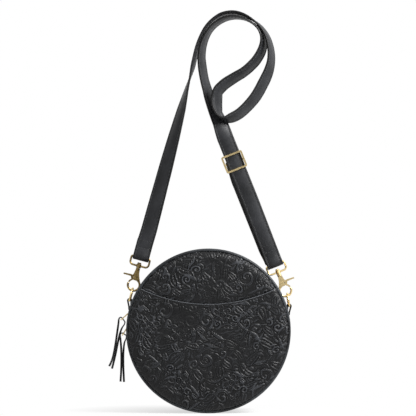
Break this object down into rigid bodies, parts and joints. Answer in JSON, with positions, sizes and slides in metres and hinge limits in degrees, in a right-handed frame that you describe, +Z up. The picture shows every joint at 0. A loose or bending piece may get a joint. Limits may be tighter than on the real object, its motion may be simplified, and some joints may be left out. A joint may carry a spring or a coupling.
{
  "type": "circle bag",
  "caption": "Round flat shoulder bag with puffy tooled leather faces, two zips over the top, lace zip tassels, side rings with swivel clasps and a long strap looped over a peg point.",
  "frame": {"origin": "under the top of the strap's outer loop, where it rests on a peg: on the strap's inner side, in the middle of its width", "axes": "+Z up, -Y towards the front of the bag, +X to the right as seen from the front"},
  "size_m": [0.2268, 0.0806, 0.4917],
  "materials": {
    "bag_leather": "tooled and lightly polished",
    "piping_leather": "smooth",
    "strap_leather": "smooth, stitched",
    "lace_leather": "soft, matt",
    "foam": "foam padding",
    "lining_cloth": "woven",
    "zip_cloth": "woven tape",
    "zip_metal": "satin",
    "bright_brass": "polished",
    "antique_brass": "darkened",
    "pin_steel": "satin"
  },
  "bodies": {
    "strap": {"strap": "strap_leather", "strap_return": "strap_leather"},
    "bag": {"front_panel": "bag_leather", "front_pocket": "bag_leather", "back_panel": "bag_leather", "front_foam": "foam", "back_foam": "foam", "front_lining": "lining_cloth", "back_lining": "lining_cloth", "divider": "lining_cloth", "front_piping": "piping_leather", "back_piping": "piping_leather", "lower_gusset": "bag_leather", "gusset_lining": "lining_cloth", "front_zip_strip": "bag_leather", "centre_strip": "bag_leather", "back_zip_strip": "bag_leather", "front_zip_tape": "zip_cloth", "back_zip_tape": "zip_cloth", "front_zip_teeth": "zip_metal", "back_zip_teeth": "zip_metal", "front_zip_stops": "zip_metal", "back_zip_stops": "zip_metal", "left_tab": "bag_leather", "right_tab": "bag_leather"},
    "left_ring": {"left_ring": "bright_brass"},
    "right_ring": {"right_ring": "bright_brass"},
    "left_eye": {"left_eye": "antique_brass"},
    "right_eye": {"right_eye": "bright_brass"},
    "left_hook": {"left_hook": "antique_brass", "left_gate_pin": "pin_steel"},
    "right_hook": {"right_hook": "bright_brass", "right_gate_pin": "pin_steel"},
    "left_gate": {"left_gate": "antique_brass"},
    "right_gate": {"right_gate": "bright_brass"},
    "front_slider": {"front_slider": "bright_brass"},
    "back_slider": {"back_slider": "bright_brass"},
    "front_pull": {"front_pull": "bright_brass"},
    "back_pull": {"back_pull": "bright_brass"},
    "front_tassel": {"front_lace_a": "lace_leather", "front_lace_b": "lace_leather"},
    "back_tassel": {"back_lace_a": "lace_leather", "back_lace_b": "lace_leather"},
    "slide": {"slide": "bright_brass"}
  },
  "joints": [
    {"name": "bag_swing", "type": "hinge", "parent": "strap", "child": "bag", "pos_m": [-0.12148, 0, -0.33546], "axis": [0.9994, 0, -0.0345], "range_deg": [-20, 20]},
    {"name": "left_ring_pivot", "type": "hinge", "parent": "bag", "child": "left_ring", "pos_m": [-0.12449, 0, -0.34754], "axis": [0, 1, 0], "range_deg": [-1, 3]},
    {"name": "right_ring_pivot", "type": "hinge", "parent": "bag", "child": "right_ring", "pos_m": [0.0708, 0, -0.35436], "axis": [0, -1, 0], "range_deg": [-1, 3]},
    {"name": "left_eye_pivot", "type": "hinge", "parent": "strap", "child": "left_eye", "pos_m": [-0.11066, 0, -0.29498], "axis": [0, 1, 0], "range_deg": [-1, 1]},
    {"name": "right_eye_pivot", "type": "hinge", "parent": "strap", "child": "right_eye", "pos_m": [0.05356, 0, -0.3031], "axis": [0, -1, 0], "range_deg": [-0.6, 1]},
    {"name": "left_hook_swivel", "type": "hinge", "parent": "left_eye", "child": "left_hook", "pos_m": [-0.11404, 0, -0.30763], "axis": [0.2583, 0, 0.9661], "range_deg": [-10, 10]},
    {"name": "right_hook_swivel", "type": "hinge", "parent": "right_eye", "child": "right_hook", "pos_m": [0.05841, 0, -0.31527], "axis": [-0.3701, 0, 0.929], "range_deg": [-10, 10]},
    {"name": "left_gate_hinge", "type": "hinge", "parent": "left_hook", "child": "left_gate", "pos_m": [-0.11951, 0, -0.3188], "axis": [0, -1, 0], "range_deg": [0, 25], "stiffness_Nm_per_rad": 0.02},
    {"name": "right_gate_hinge", "type": "hinge", "parent": "right_hook", "child": "right_gate", "pos_m": [0.06515, 0, -0.32572], "axis": [0, 1, 0], "range_deg": [0, 25], "stiffness_Nm_per_rad": 0.02},
    {"name": "front_zip_run", "type": "hinge", "parent": "bag", "child": "front_slider", "pos_m": [-0.028, 0, -0.384], "axis": [0, 1, 0], "range_deg": [-11, 160]},
    {"name": "back_zip_run", "type": "hinge", "parent": "bag", "child": "back_slider", "pos_m": [-0.028, 0, -0.384], "axis": [0, -1, 0], "range_deg": [-170, 1]},
    {"name": "front_pull_hinge", "type": "hinge", "parent": "front_slider", "child": "front_pull", "pos_m": [-0.12358, -0.016, -0.36105], "axis": [0, 1, 0], "range_deg": [-10, 60]},
    {"name": "back_pull_hinge", "type": "hinge", "parent": "back_slider", "child": "back_pull", "pos_m": [-0.12612, 0.016, -0.378], "axis": [0, -1, 0], "range_deg": [-60, 10]},
    {"name": "front_tassel_hang", "type": "hinge", "parent": "front_pull", "child": "front_tassel", "pos_m": [-0.13287, -0.016, -0.36942], "axis": [0, 1, 0], "range_deg": [-5, 35]},
    {"name": "back_tassel_hang", "type": "hinge", "parent": "back_pull", "child": "back_tassel", "pos_m": [-0.13274, 0.016, -0.3886], "axis": [0, -1, 0], "range_deg": [-35, 5]},
    {"name": "slide_run", "type": "slide", "parent": "strap", "child": "slide", "axis": [-0.3701, 0, 0.929], "range_m": [-0.085, 0.015], "deforming": ["strap_return"]}
  ]
}
